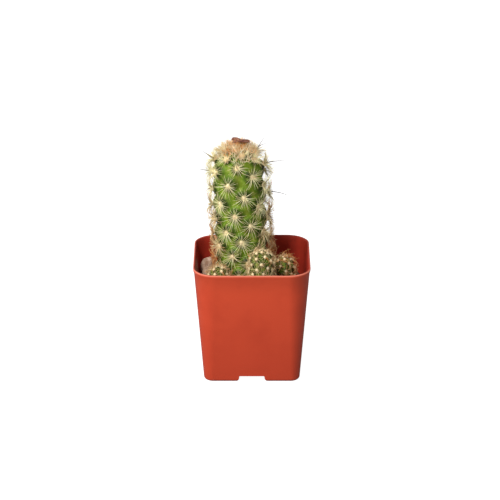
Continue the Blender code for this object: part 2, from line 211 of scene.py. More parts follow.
# %% Group: grain height
def make_grain():
    group, way_in = new_group("grain", ("Lump Scale", "Grain Scale", "Grain Share"), "Height")
    lumps = node(group, "ShaderNodeTexNoise", {
        "Vector": way_in["Vector"], "Scale": way_in["Lump Scale"], "Detail": 2.0})
    grain = node(group, "ShaderNodeTexNoise", {
        "Vector": way_in["Vector"], "Scale": way_in["Grain Scale"], "Detail": 4.0})
    both = node(group, "ShaderNodeMix", {
        0: way_in["Grain Share"], 2: lumps.outputs["Fac"], 3: grain.outputs["Fac"]})
    node(group, "NodeGroupOutput", {"Height": both.outputs[0]})
    return group


grain_group = make_grain()


def grain_bump(tree, shader, place, lump, grain, share, strength, distance):
    """Gives a shader a fine uneven surface."""
    made = node(tree, "ShaderNodeGroup", {
        "Vector": place, "Lump Scale": lump, "Grain Scale": grain, "Grain Share": share,
    }, node_tree=grain_group)
    bump = node(tree, "ShaderNodeBump", {
        "Height": made.outputs["Height"], "Strength": strength, "Distance": distance})
    tree.links.new(bump.outputs["Normal"], shader.inputs["Normal"])


def blend(tree, mask, most, a, b):
    """Lets colour b show over colour a where the mask is high, by no more than the share most."""
    share = node(tree, "ShaderNodeMath", {0: mask, 1: most}, operation="MULTIPLY").outputs[0]
    return mix(tree, share, a, b)


def attribute(tree, name):
    return node(tree, "ShaderNodeAttribute", attribute_name=name).outputs["Fac"]


def level_of(tree, place):
    return node(tree, "ShaderNodeSeparateXYZ", {0: place}).outputs["Z"]


def dress(tree, shader, colour, mask, low, high):
    """Gives a shader its colour and, between low and high over a mask, its roughness."""
    tree.links.new(colour, shader.inputs["Base Color"])
    made = node(tree, "ShaderNodeMapRange", {"Value": mask, "To Min": low, "To Max": high})
    tree.links.new(made.outputs["Result"], shader.inputs["Roughness"])


# %% [markdown]
# ## The plant's ground plan
#
# A cactus of this kind carries its spines on raised bumps, called tubercles, each with a woolly
# spot, the areole, on top. Every new areole appears one golden angle, about 137.6 degrees, round
# the growing tip from the last. That one rule makes the crossing spirals, so the script works the
# places out from the rule and never lists them. The sizes here are the CAD part's own.


# %% A stem: its axis, surface and areoles
DIVERGENCE = math.radians(-137.6)
CROWDING = 1.6  # how suddenly the areoles crowd together near the tip
FOOT_NARROWING = 0.22  # share of its radius that a stem loses at its foot
FOOT_LENGTH = 8 * MM
SOIL_LEVEL = 39.2 * MM


class Stem:
    """A column with a domed top. A place on it is its distance s down from the tip along the
    surface, and its angle round the axis from the front (-Y) towards the right (+X)."""

    def __init__(self, foot, tip, radius):
        self.foot, self.tip = np.array(foot) * MM, np.array(tip) * MM
        axis = self.tip - self.foot
        self.radius, self.length = radius * MM, float(np.linalg.norm(axis))
        self.up = axis / self.length
        self.right = np.cross((0, 1, 0), self.up)
        self.right /= np.linalg.norm(self.right)
        self.front = np.cross(self.right, self.up)
        self.dome = self.radius * math.pi / 2
        self.total = self.dome + self.length - self.radius

    def profile(self, s):
        """Distance from the axis, height above the foot, and outward slope."""
        slope = np.minimum(np.asarray(s, float) / self.radius, math.pi / 2)
        on_side = self.length - self.radius - (s - self.dome)
        height = np.where(s < self.dome, self.length - self.radius * (1 - np.cos(slope)), on_side)
        narrowing = FOOT_NARROWING * np.maximum(0, 1 - np.maximum(height, 0) / FOOT_LENGTH) ** 2
        distance = self.radius * np.sin(slope) * (1 - narrowing)
        return distance, height, slope

    def surface(self, s, angle):
        """Points, outward normals and directions towards the tip, one row for each place."""
        distance, height, slope = (x[:, None] for x in self.profile(s))
        out = np.cos(angle)[:, None] * self.front + np.sin(angle)[:, None] * self.right
        point = self.foot + self.up * height + out * distance
        normal = out * np.sin(slope) + self.up * np.cos(slope)
        return point, normal, self.up * np.sin(slope) - out * np.cos(slope)

    def grow_areoles(self, anchor_height, anchor_angle, internode, growth, crown, least):
        """Places of the areoles from the tip down; within crown of the tip they crowd together,
        until each has only the share least of the full room."""
        step = 0.05 * MM
        arc = np.arange(0, self.total + step, step)
        distance, height, _ = self.profile(arc)
        rise = (internode + growth * (height / MM - anchor_height)) * MM
        crowding = lerp(least, 1.0, np.minimum(arc / crown, 1.0) ** CROWDING)
        density = distance / self.radius / (rise * crowding)
        count = np.concatenate(([0], np.cumsum(density[1:] * step)))
        anchor_s = self.dome + self.length - self.radius - anchor_height * MM
        anchor = np.interp(anchor_s, arc, count)
        number = np.arange(-math.floor(anchor), math.floor(count[-1] - anchor) + 1)
        self.s = np.interp(anchor + number, count, arc)
        angle = anchor_angle + number * DIVERGENCE
        self.spot, self.normal, self.upward = self.surface(self.s, angle)
        apart = np.linalg.norm(self.spot[:, None] - self.spot[None], axis=2)
        self.spacing = np.sort(apart, axis=1)[:, 1]


main = Stem((-3.3, 2.0, 32.2), (-7.2, 1.0, 111.9), 11.2)
main.grow_areoles(anchor_height=59.3, anchor_angle=math.radians(10.1), internode=1.23,
                  growth=0.012, crown=21 * MM, least=0.12)


# %% [markdown]
# ## Green skin
#
# The skin is waxy and half matt: fresh yellow-green in the grooves, going greener and darker up the
# flanks of each tubercle and dark at its top, which is painted shade of its spines, with pale
# breathing pores as fine freckles. The mesh carries a `rise` value, 0 in a groove and 1 on top of a
# tubercle, so the colour and its painted shade follow the shape exactly. Near the soil old skin turns
# to tan cork.


# %% Finish: skin
CORK_WAVE, CORK_FADE = 0.006, 0.008  # how far the cork's upper edge wanders, and fades out


def make_skin(name, valley, flank, top, cork_top):
    made, tree, shader, place = new_finish(name)
    rise = attribute(tree, "rise")
    # painted shade: the colour darkens from groove to tubercle top, in place of the shade that the
    # spines cast
    flesh = ramp(tree, rise, [(0.0, valley), (0.22, flank), (0.6, top)])
    clouds = mottle(tree, place, 260.0)
    flesh = blend(tree, clouds, 0.5, flesh, tuple(c * 0.6 for c in flank))
    fresh = mottle(tree, place, 420.0, 0.52, 0.7)
    flesh = blend(tree, fresh, 0.5, flesh, (0.30, 0.42, 0.06))
    tired = mottle(tree, place, 210.0, 0.56, 0.72, 4.0)
    flesh = blend(tree, tired, 0.28, flesh, (0.20, 0.12, 0.02))
    pores = mottle(tree, place, 3200.0, 0.60, 0.72, 1.0)
    flesh = blend(tree, pores, 0.3, flesh, (0.45, 0.52, 0.20))
    wavy = node(tree, "ShaderNodeMath", {
        0: mottle(tree, place, 400.0), 1: CORK_WAVE, 2: level_of(tree, place),
    }, operation="MULTIPLY_ADD")
    cork = node(tree, "ShaderNodeMapRange", {
        "Value": wavy.outputs[0], "From Min": cork_top, "From Max": cork_top - CORK_FADE,
    }).outputs["Result"]
    flesh = mix(tree, cork, flesh, (0.20, 0.115, 0.04))
    shader.inputs["Specular IOR Level"].default_value = 0.12
    dress(tree, shader, flesh, clouds, 0.38, 0.55)
    grain_bump(tree, shader, place, 700.0, 3600.0, 0.4, 0.35, 0.0004)
    return made


# the last colour is the dark painted shade at the tubercle tops
skin = make_skin("skin", (0.162, 0.248, 0.014), (0.098, 0.178, 0.010), (0.014, 0.022, 0.003), 0.040)


# %% [markdown]
# ## Making a stem
#
# A ball of rings and segments is stretched over the column, ring by ring from the tip to the foot,
# and then each vertex is pushed out by the tallest tubercle that reaches it. A tubercle is a round
# swelling, as wide as the distance to its nearest neighbour allows, so bumps that crowd are small
# and bumps with room are large. One surface bends into all of them, as a real skin does, which
# separate balls stuck on a cylinder never do.


# %% Helper: a stem with tubercles
TUBERCLE_REACH = 0.62  # of the distance to the nearest areole
WIDEST_GAP = 3.9  # tubercle heights; areoles further apart than this don't widen a tubercle
FULL_GAP = 3  # tubercle heights between areoles that give a tubercle its full height
SOIL_FADE = 3 * MM  # height above the soil over which the tubercles grow to their full size


def raise_tubercles(stem, points):
    """How far each point is pushed out, and its rise from 0 in a groove to 1 on a top."""
    apart = np.linalg.norm(points[:, None] - stem.spot[None], axis=2)
    reach = TUBERCLE_REACH * np.minimum(stem.spacing, stem.bump * WIDEST_GAP)
    rise = np.maximum(0, 1 - (apart / reach) ** 2) ** 1.5
    return (rise * stem.tubercle_height).max(axis=1), rise.max(axis=1)


def make_stem(name, stem, tubercle, segments, rings, finish, stands_for):
    stem.bump = tubercle * MM
    stem.tubercle_height = stem.bump * np.minimum(1, stem.spacing / (stem.bump * FULL_GAP))
    bm = bmesh.new()
    bmesh.ops.create_uvsphere(bm, u_segments=segments, v_segments=rings, radius=1.0)
    layer = bm.verts.layers.float.new("rise")
    unit = np.array([v.co for v in bm.verts])
    down = np.arccos(np.clip(unit[:, 2], -1, 1)) / math.pi
    angle = np.arctan2(unit[:, 0], -unit[:, 1])
    side_end = (rings - 2) / rings
    s = stem.total * np.minimum(down / side_end, 1.0)
    point, normal, _ = stem.surface(s, angle)
    push, rise = raise_tubercles(stem, point)
    _, height, _ = stem.profile(s)
    above = np.clip((stem.foot[2] + height - SOIL_LEVEL) / SOIL_FADE, 0, 1)
    moved = point + normal * (push * above)[:, None]
    middle = stem.foot + stem.up * height[:, None]
    inward = np.clip((1 - down) / (1 - side_end), 0, 1)[:, None]
    moved = np.where(down[:, None] > side_end + 1e-6, middle + (point - middle) * inward, moved)
    for vert, place, value in zip(bm.verts, moved, rise):
        vert.co = place
        vert[layer] = value
    finish_piece(name, bm, finish, stands_for, sharp=180.0)


# %% The main stem
make_stem("stem", main, tubercle=2.1, segments=176, rings=200, finish=skin,
          stands_for=["main_stem"])


# %% [markdown]
# ## Spines
#
# A radial spine is a stiff, slightly bent needle about a quarter of a millimetre thick. There are
# thousands, so a simple needle is made once from a four-sided cone, cut across so that it can bend,
# and each spine is a copy of it, stretched, bent and turned to its place. Each copy also carries
# three values for its finish: `along` from root to tip, `tone` from white to tan, and `shade`, how
# much darker it is than its neighbours.


# %% A needle to copy
SPINE_VALUES = ("along", "tone", "shade")
NEEDLE_TIP = 0.3  # a needle's radius at its tip, as a share of that at its root


def template_from(name, bm, values=SPINE_VALUES):
    """(mesh, its vertices as an array): a shape that will be copied many times."""
    for value in values:
        bm.verts.layers.float.new(value)
    mesh = mesh_from(name, bm)
    return mesh, np.array([v.co for v in mesh.vertices])


def cut_across(bm, cuts):
    """Cuts a cone that is one unit long into rings, so that it can bend."""
    long_edges = [e for e in bm.edges if abs(e.verts[0].co.z - e.verts[1].co.z) > 0.5]
    bmesh.ops.subdivide_edges(bm, edges=long_edges, cuts=cuts, use_grid_fill=True)


def make_needle(name, sides, cuts):
    bm = bmesh.new()
    bmesh.ops.create_cone(bm, cap_ends=True, segments=sides, radius1=1.0, radius2=NEEDLE_TIP,
                          depth=1.0, matrix=Matrix.Translation((0, 0, 0.5)))
    cut_across(bm, cuts)
    return template_from(name, bm)


needle = make_needle("needle", 4, 3)
hair = make_needle("hair", 3, 1)


# %% Helper: grow many spines into one bmesh
def add_copy(bm, mesh, place, **values):
    """Moves a template's vertices, sets its values and adds it to bm."""
    mesh.vertices.foreach_set("co", place.astype(np.float32).ravel())
    for name, value in values.items():
        filled = np.broadcast_to(value, len(place)).astype(np.float32)
        mesh.attributes[name].data.foreach_set("value", filled)
    bm.from_mesh(mesh)


def perpendicular(way):
    """Two directions across way, from any third direction that isn't along it."""
    side = np.cross(way, (0.31, 0.52, 0.79))
    side /= np.linalg.norm(side)
    return side, np.cross(way, side)


def grow_spine(bm, template, start, way, bend, length, radius, tone, shade):
    """Adds one copy: it leaves start along way, and has moved by bend (a vector) at its tip."""
    mesh, shape = template
    share = shape[:, 2:3]
    side, other = perpendicular(way)
    across = (shape[:, 0:1] * side + shape[:, 1:2] * other) * radius
    place = start + way * length * share + bend * share**2 + across
    add_copy(bm, mesh, place, along=shape[:, 2], tone=tone, shade=shade)


# %% Finish: spines
def make_spine_finish(name, pale, tan, tip):
    made, tree, shader, place = new_finish(name)
    along, tone, shade = (attribute(tree, key) for key in ("along", "tone", "shade"))
    colour = mix(tree, tone, pale, tan)
    darker = ramp(tree, shade, [(0.0, (1, 1, 1)), (0.7, (0.8, 0.74, 0.66)), (1.0, (0.2, 0.12, 0.07))])
    colour = mix(tree, 1.0, colour, darker, "MULTIPLY")
    tipped = node(tree, "ShaderNodeMapRange", {"Value": along, "From Min": 0.7, "To Max": 0.5})
    colour = mix(tree, tipped.outputs["Result"], colour, tip)
    banded = mottle(tree, place, 900.0)
    colour = blend(tree, banded, 0.2, colour, tuple(c * 0.6 for c in pale))
    dress(tree, shader, colour, banded, 0.35, 0.6)
    grain_bump(tree, shader, place, 2500.0, 9000.0, 0.5, 0.2, 0.0001)
    return made


spine_finish = make_spine_finish("radial_spine", (0.95, 0.91, 0.53), (0.56, 0.165, 0.02),
                                 (0.62, 0.30, 0.07))
brush_finish = make_spine_finish("crown_spine", (0.99, 0.94, 0.70), (0.92, 0.38, 0.07),
                                 (0.98, 0.80, 0.45))


# %% [markdown]
# ## A star of spines on every tubercle
#
# The spines leave their areole at about 45 degrees, like the ribs of a half-open umbrella, and bend
# back towards the skin. The flanks have more of them, and on the left flank they bend back further.
# Towards the growing tip they are shorter and steeper and crowd into a tan tuft, and old ones, low
# on the stem and on its flanks, are tan too. The same loop makes them all.


# %% Helper: the spines of one stem
FLANK_FROM, FLANK_WIDTH = 0.6, 0.4  # a flank's start and width sideways, as shares of the radius
OLD_LIFT, YOUNG_LIFT = 44, 54  # degrees off the skin
OLD_SCATTER, YOUNG_SCATTER = 7, 16  # degrees by which the lift varies


def areoles_above_soil(stem, young):
    """Each areole's base, outward normal, direction to the tip, side, and youth from 0 to 1."""
    for s, spot, normal, up, rise in zip(stem.s, stem.spot, stem.normal, stem.upward,
                                         stem.tubercle_height):
        base = spot + normal * rise
        if base[2] > SOIL_LEVEL + 1.5 * MM:
            yield base, normal, up, np.cross(up, normal), max(0.0, 1 - s / young)


def star_spines(bm, stem, rays, length, radius, young, tone_at, crowded):
    """A ring of spines round each areole, and up to the share crowded more on the flanks."""
    for base, normal, up, side, youth in areoles_above_soil(stem, young):
        turn = rng.uniform(0, math.tau)
        across = (base - stem.tip) @ stem.right / stem.radius
        flank = np.clip(abs(across) - FLANK_FROM, 0, FLANK_WIDTH) / FLANK_WIDTH
        erect = youth**0.6 * (1 - 0.4 * flank)
        count = round(rays * (1 + 0.8 * erect) * (1 + crowded * flank))
        for k in range(count):
            around = turn + (k + rng.uniform(-0.3, 0.3)) * math.tau / count
            out = side * math.cos(around) + up * math.sin(around)
            lift = math.radians(lerp(OLD_LIFT, YOUNG_LIFT, erect)
                                + rng.normal(0, lerp(OLD_SCATTER, YOUNG_SCATTER, erect)))
            way = out * math.cos(lift) + normal * math.sin(lift)
            long = length * lerp(1.0, 0.6, erect) * (1 - 0.12 * math.sin(around)) * (1 + 0.1 * flank)
            long *= rng.uniform(0.84, 1.1)
            sag = rng.uniform(0.34, 0.5) + 0.15 * min(crowded, flank) * (across < 0)
            sag *= 1 - 0.8 * erect
            bend = -normal * sag + side * rng.normal(0, 0.06) + up * rng.normal(0, 0.06)
            start = base + out * radius * lerp(4.0, rng.uniform(0, 14), erect)
            tone = clamp(tone_at(base, youth) + rng.normal(0, 0.13))
            grow_spine(bm, needle, start, way, bend * long, long,
                       radius * rng.uniform(0.75, 1.1), tone, rng.uniform(0, 1) ** 2)


def strands(bm, stem, count, length, radius, tone, spread, wanted=lambda out, z: True):
    """Long old spines that arch over the stem from one areole towards the next above or below."""
    held = [place for place in areoles_above_soil(stem, 1 * MM)
            if wanted(place[0] - stem.tip, place[0][2])]
    for _ in range(count):
        base, normal, up, side, _ = held[rng.integers(len(held))]
        around = rng.normal(0, spread) + math.pi / 2 * rng.choice((-1, 1))
        out = side * math.cos(around) + up * math.sin(around)
        lift = math.radians(rng.uniform(28, 48))
        way = out * math.cos(lift) + normal * math.sin(lift)
        long = length * rng.uniform(0.7, 1.15)
        bend = (-normal * rng.uniform(0.3, 0.5) + side * rng.normal(0, 0.12)) * long
        grow_spine(bm, needle, base, way, bend, long, radius,
                   clamp(tone + rng.normal(0, 0.2)), rng.uniform(0, 1))


def crown_brush(bm, stem, count, reach, length, radius):
    """The crowded young spines round the tip: a thick uneven brush, cream outside, tan inside."""
    for _ in range(count):
        s = reach * rng.uniform(0, 1) ** 0.6
        around = rng.uniform(0, math.tau)
        spot, normal, upward = (x[0] for x in stem.surface(np.array([s]), np.array([around])))
        start = spot + normal * rng.uniform(0.4, 0.9) * stem.bump
        way = normal + rng.normal(0, 0.38, 3) + upward * rng.uniform(-0.2, 0.5)
        way /= np.linalg.norm(way)
        clump = noise.noise(Vector(spot) * 260)
        tone = 1.15 - 1.2 * s / reach + 1.6 * clump + rng.normal(0, 0.2)
        long = length * rng.uniform(0.6, 1.1) * (1 - 0.4 * (s / reach) ** 2)
        long *= 1 + 0.5 * min(0, (spot - stem.tip) @ stem.right / stem.radius)
        grow_spine(bm, needle, start, way, rng.normal(0, 0.12, 3) * length, long,
                   radius * rng.uniform(0.6, 1.1), clamp(tone), rng.uniform(0, 1) ** 2)


TAN_BELOW, TAN_DEPTH = 92 * MM, 44 * MM  # below this height spines go tan, over this depth
TAN_FLANK_FROM, TAN_FLANK_MOST = 0.75, 0.4  # sideways, as shares of the radius


def main_tone(base, youth):
    """Old spines low down and on the flanks have gone tan; the newest, at the tip, are tan too."""
    low = np.clip((TAN_BELOW - base[2]) / TAN_DEPTH, 0, 1)
    out = base - main.tip
    flank = np.clip(abs(out @ main.right) / main.radius - TAN_FLANK_FROM, 0, TAN_FLANK_MOST)
    middle = np.linalg.norm(out[:2]) / main.radius
    return 0.03 + 0.8 * youth * max(0.2, 1 - 0.8 * middle) + 0.2 * low + (0.15 + 2.4 * low) * flank


# %% The main stem's radial spines
bm = bmesh.new()
star_spines(bm, main, rays=25, length=7.6 * MM, radius=0.128 * MM, young=18 * MM,
            tone_at=main_tone, crowded=1.1)
strands(bm, main, count=170, length=9.0 * MM, radius=0.24 * MM, tone=1.0, spread=0.5,
        wanted=lambda out, z: out @ main.front < 0.5 * main.radius and z < 96 * MM)
rows = [name for name in nodes if name.startswith("main_spine_row")]
finish_piece("radial_spines", bm, spine_finish, rows, turn_out=False)


# %% [markdown]
# ## Wool on the areoles
#
# Where the spines leave the tubercle there is a cushion of cream wool. It is a small lumpy ball,
# pressed flat and a little taller than wide, with short curled hairs so that its edge is soft.


# %% Finish: wool
def make_wool(name, light, deep):
    made, tree, shader, place = new_finish(name)
    fibres = mottle(tree, place, 2600.0, 0.3, 0.7, 4.0)
    warm = attribute(tree, "tone")
    colour = mix(tree, warm, light, (0.62, 0.33, 0.12))
    colour = mix(tree, fibres, mix(tree, 1.0, colour, deep, "MULTIPLY"), colour)
    dress(tree, shader, colour, fibres, 0.8, 0.98)
    shader.inputs["Sheen Weight"].default_value = 0.25
    grain_bump(tree, shader, place, 2200.0, 7000.0, 0.5, 0.6, 0.0003)
    return made


wool = make_wool("areole_wool", (0.98, 0.88, 0.58), (0.66, 0.54, 0.38))


# %% Helper: a cushion of wool
def make_ball(name, subdivisions, values=SPINE_VALUES):
    bm = bmesh.new()
    bmesh.ops.create_icosphere(bm, subdivisions=subdivisions, radius=1.0)
    return template_from(name, bm, values)


tuft = make_ball("tuft", 2)


def wool_pads(bm, stem, wide, deep, hairs, young, warm_at):
    """A lumpy cushion on each areole, wide along the skin and deep off it, and its hairs."""
    tuft_mesh, tuft_shape = tuft
    for base, normal, up, side, youth in areoles_above_soil(stem, young):
        size = rng.uniform(0.88, 1.12) * (1 + 0.5 * youth)
        seed = Vector(base * 900)
        lumps = [1 + 0.14 * noise.noise(Vector(p * 2.3) + seed) for p in tuft_shape]
        ball = tuft_shape * np.array(lumps)[:, None] * size
        place = base + ball[:, 0:1] * side * wide + ball[:, 1:2] * up * wide * 1.12
        place += ball[:, 2:3] * normal * deep
        warm = clamp(warm_at(youth) + rng.normal(0, 0.1))
        add_copy(bm, tuft_mesh, place, tone=warm)
        for _ in range(hairs):
            a, b = rng.uniform(0, math.tau), rng.uniform(0.0, 1.25)
            out = side * math.cos(a) + up * math.sin(a)
            way = out * math.sin(b) + normal * math.cos(b)
            start = base + (out * wide * math.sin(b) + normal * math.cos(b) * deep) * size * 0.8
            grow_spine(bm, hair, start, way, rng.normal(0, 0.2, 3) * wide,
                       rng.uniform(0.25, 0.6) * wide, 0.045 * wide, warm, rng.uniform(0, 1))


# %% The brush and wool of the main stem
bm = bmesh.new()
crown_brush(bm, main, count=850, reach=10.5 * MM, length=3.8 * MM, radius=0.21 * MM)
finish_piece("crown_brush", bm, brush_finish, ["crown_spines"], turn_out=False)
bm = bmesh.new()
wool_pads(bm, main, wide=1.15 * MM, deep=0.8 * MM, hairs=26, young=20 * MM,
          warm_at=lambda youth: 0.08 + 0.75 * youth)
finish_piece("areole_wool", bm, wool, sharp=180.0, turn_out=False)


# %% [markdown]
# ## Long dark spines
#
# A few areoles push out one long, dark, slightly bent spine. They are seen best against the
# background, so each has its own place on the stem, the same as the CAD part's. They are a little
# longer and thicker than there, or the lace of pale spines would hide them.


# %% Finish and pieces: central spines
dark_spine = make_spine_finish("central_spine", (0.06, 0.042, 0.036), (0.05, 0.03, 0.025),
                               (0.025, 0.02, 0.02))
DARK_LONGER = 1.1
DARK_RADIUS = 0.27 * MM
CENTRAL_SPINES = (  # degrees from the front, mm above the foot, length in mm, upward bend per length
    (-92, 75.0, 6.0, 0.12), (-84, 69.0, 6.0, 0.12), (104, 76.0, 6.5, -0.6), (84, 70.5, 8.8, -0.2),
    (95, 55.0, 9.0, -0.3), (178, 58.0, 8.0, 0.12), (-150, 66.0, 8.5, 0.12), (140, 71.0, 8.0, 0.12),
    (24, 74.0, 5.5, 0.12), (150, 46.0, 8.0, 0.12),
)


def make_central_spines():
    bm = bmesh.new()
    taken = set()
    for degrees, height, length, rise in CENTRAL_SPINES:
        turn = math.radians(degrees)
        way = main.front * math.cos(turn) + main.right * math.sin(turn)
        target = main.foot + main.up * height * MM + way * main.radius
        order = np.argsort(np.linalg.norm(main.spot - target, axis=1))
        i = next(n for n in order if n not in taken)
        taken.add(i)
        normal, up = main.normal[i], main.upward[i]
        start = main.spot[i] + normal * (main.tubercle_height[i] + 0.4 * MM)
        grow_spine(bm, needle, start, normal, up * length * rise * MM,
                   length * DARK_LONGER * MM, DARK_RADIUS, 0.3, rng.uniform(0, 0.5))
    return bm


dark_nodes = [name for name in nodes if name.startswith("central_spine")]
finish_piece("central_spines", make_central_spines(), dark_spine, dark_nodes,
             turn_out=False)


# %% [markdown]
# ## Offsets
#
# The three young stems at the foot follow the same rule at a smaller scale: closer tubercles, each
# with a bright woolly dot and a small star of short spines, and longer tan spines that mat over
# their outline.


# %% The three offsets
# as on the main stem, the last colour is the dark painted shade at the tubercle tops
young_skin = make_skin("young_skin", (0.085, 0.13, 0.010), (0.055, 0.085, 0.007),
                       (0.025, 0.035, 0.004), 0.043)
OFFSETS = (  # name, foot, tip and radius in mm, how matted with strands, tone from white to tan
    ("offset_front_right", (3.4, -17.0, 33.2), (5.0, -18.2, 65.8), 4.9, 0.12, 0.5),
    ("offset_right", (14.6, -2.6, 33.2), (16.0, -3.6, 57.4), 4.6, 0.8, 0.75),
    ("offset_front_left", (-15.4, -12.2, 33.2), (-16.4, -13.0, 55.6), 4.2, 0.4, 0.6),
)
pups = []
pup_spines, pup_wool = bmesh.new(), bmesh.new()
for name, foot, tip, radius, matted, tan in OFFSETS:
    pup = Stem(foot, tip, radius)
    pups.append(pup)
    pup.grow_areoles(anchor_height=pup.length / MM / 2, anchor_angle=0.0, internode=0.36,
                     growth=0.0, crown=5 * MM, least=0.5)
    make_stem(name + "_stem", pup, tubercle=1.0, segments=72, rings=84, finish=young_skin,
              stands_for=[name])
    star_spines(pup_spines, pup, rays=12, length=3.4 * MM, radius=0.11 * MM, young=0.1 * MM,
                tone_at=lambda base, youth, tan=tan: tan, crowded=0.0)
    strands(pup_spines, pup, count=round(100 * matted), length=7.5 * MM, radius=0.16 * MM,
            tone=1.0, spread=1.2)
    wool_pads(pup_wool, pup, wide=0.66 * MM, deep=0.6 * MM, hairs=8, young=0.1 * MM,
              warm_at=lambda youth: 0.0)
cover_nodes = [name + "_spines" for name, *_ in OFFSETS]
finish_piece("offset_spines", pup_spines, spine_finish, cover_nodes, turn_out=False)
finish_piece("offset_wool", pup_wool, wool, sharp=180.0, turn_out=False)


# %% [markdown]
# ## The pot
#
# A thin square nursery pot is moulded in one piece: straight tapered walls with round corners, a
# tiny lip round the rim, and a cross-shaped channel under the floor that leaves four corner feet.
# Rings of one rounded square are set at each level of the wall's section, up the outside, over the
# rim and down the inside, and bridged to each other. The channel and drain holes are then cut.


# %% The pot's wall as rings
POT_HEIGHT = 57.7 * MM
BASE_HALF, RIM_HALF, RIM_LIP = 23.4 * MM, 28.2 * MM, 0.3 * MM
BASE_CORNER, RIM_CORNER, LEAST_CORNER = 4.5 * MM, 11 * MM, 1.2 * MM
CORNER_STEPS = 12
WALL = 0.9 * MM
BASE_FILLET = 1.5 * MM
FIRST_INSIDE_RING = 19  # the one on top of the rim


def rounded_ring(bm, half, corner, level):
    count = 4 * (CORNER_STEPS + 1)
    ring = bmesh.ops.create_circle(bm, segments=count, radius=half)["verts"]
    for i, vert in enumerate(ring):
        quarter, step = divmod(i, CORNER_STEPS + 1)
        angle = step / CORNER_STEPS * math.pi / 2
        point = Vector((half - corner + corner * math.cos(angle),
                        half - corner + corner * math.sin(angle), level))
        vert.co = Matrix.Rotation(quarter * math.pi / 2, 3, "Z") @ point
    return ring


def wall_section():
    """(level, inset from the outer form) from the underside's edge round to the floor inside."""
    section = []
    for step in range(9):
        turn = step / 8 * math.pi / 2
        section.append((BASE_FILLET * (1 - math.cos(turn)), BASE_FILLET * (1 - math.sin(turn))))
    section += [(lerp(BASE_FILLET, POT_HEIGHT - 2 * MM, k / 6), 0.0) for k in range(1, 7)]
    section += [(POT_HEIGHT - 1.5 * MM, -0.22 * MM)]
    middle, radius = POT_HEIGHT - WALL / 2, WALL / 2
    for step in range(7):
        turn = step / 6 * math.pi
        section.append((middle + radius * math.sin(turn), -RIM_LIP + radius * (1 - math.cos(turn))))
    section += [(POT_HEIGHT - 3 * MM, WALL - 0.1 * MM)]
    section += [(lerp(POT_HEIGHT - 3 * MM, 8 * MM, k / 5), WALL) for k in range(1, 6)]
    section += [(4.9 * MM, 1.3 * MM), (4.3 * MM, 2.6 * MM)]
    return section


def make_pot_body():
    bm = bmesh.new()
    rings = []
    inside = bm.verts.layers.float.new("inside")
    for number, (level, inset) in enumerate(wall_section()):
        share = level / POT_HEIGHT
        half = lerp(BASE_HALF, RIM_HALF, share) - inset
        corner = max(lerp(BASE_CORNER, RIM_CORNER, share) - max(inset, 0), LEAST_CORNER)
        ring = rounded_ring(bm, half, corner, level)
        for vert in ring:
            vert[inside] = float(number >= FIRST_INSIDE_RING)
        rings.append(ring)
    loops = [[e for e in bm.edges if e.verts[0] in r and e.verts[1] in r]
             for r in (set(ring) for ring in rings)]
    for low, high in zip(loops, loops[1:]):
        bmesh.ops.bridge_loops(bm, edges=low + high)
    for ring in (rings[0], rings[-1]):
        bmesh.ops.contextual_create(bm, geom=ring)
    return bm


# %% The channel and the drain holes
CHANNEL_HALF_TOP, CHANNEL_HEIGHT = 6.1 * MM, 3.1 * MM
CHANNEL_FLARE = 0.1 * MM  # how much wider the channel is where its round foot begins
FOOT_ROUND = 2.3 * MM
DRAIN_RADIUS = 2.4 * MM
DRAIN_OFFSET = 14  # mm


def channel_bar(turn):
    """A bar with the channel's section: upright sides that spread in a round towards the ground."""
    bm = bmesh.new()
    half_bottom = CHANNEL_HALF_TOP + CHANNEL_FLARE + FOOT_ROUND
    side = [(half_bottom, -2 * MM), (half_bottom, 0.0)]
    for step in range(1, 7):
        angle = step / 6 * math.pi / 2
        side.append((half_bottom - FOOT_ROUND * math.sin(angle),
                     FOOT_ROUND - FOOT_ROUND * math.cos(angle)))
    side.append((CHANNEL_HALF_TOP + 0.05 * MM, 2.8 * MM))
    side.append((CHANNEL_HALF_TOP - 0.15 * MM, CHANNEL_HEIGHT))
    outline = side + [(-x, z) for x, z in reversed(side)]
    face = bm.faces.new([bm.verts.new((x, -40 * MM, z)) for x, z in outline])
    swept = bmesh.ops.extrude_face_region(bm, geom=[face])
    far = [v for v in swept["geom"] if isinstance(v, bmesh.types.BMVert)]
    bmesh.ops.translate(bm, verts=far, vec=(0, 80 * MM, 0))
    bmesh.ops.rotate(bm, verts=bm.verts, matrix=Matrix.Rotation(turn, 3, "Z"))
    return bm


def drain_punch(x, y):
    bm = bmesh.new()
    bmesh.ops.create_cone(bm, cap_ends=True, segments=32, radius1=DRAIN_RADIUS, radius2=DRAIN_RADIUS,
                          depth=6 * MM, matrix=Matrix.Translation((x, y, 3 * MM)))
    return bm


# %% Helper: cut one bmesh with others
def cut_with(bm, cutters):
    """Cuts a closed bmesh with a list of closed ones, through Boolean modifiers, and gives back
    the result as a new bmesh."""
    holder = new_object("holder", mesh_from("body", bm))
    tools = []
    for number, tool in enumerate(cutters):
        bmesh.ops.recalc_face_normals(tool, faces=tool.faces)
        tools.append(new_object(f"tool_{number}", mesh_from(f"tool_{number}", tool)))
        boolean = holder.modifiers.new(f"cut_{number}", "BOOLEAN")
        boolean.operation = "DIFFERENCE"
        boolean.object = tools[-1]
    bpy.context.view_layer.update()
    ready = holder.evaluated_get(bpy.context.evaluated_depsgraph_get())
    made = bmesh.new()
    made.from_mesh(ready.to_mesh())
    ready.to_mesh_clear()
    for obj in [holder, *tools]:
        bpy.data.objects.remove(obj, do_unlink=True)
    return made


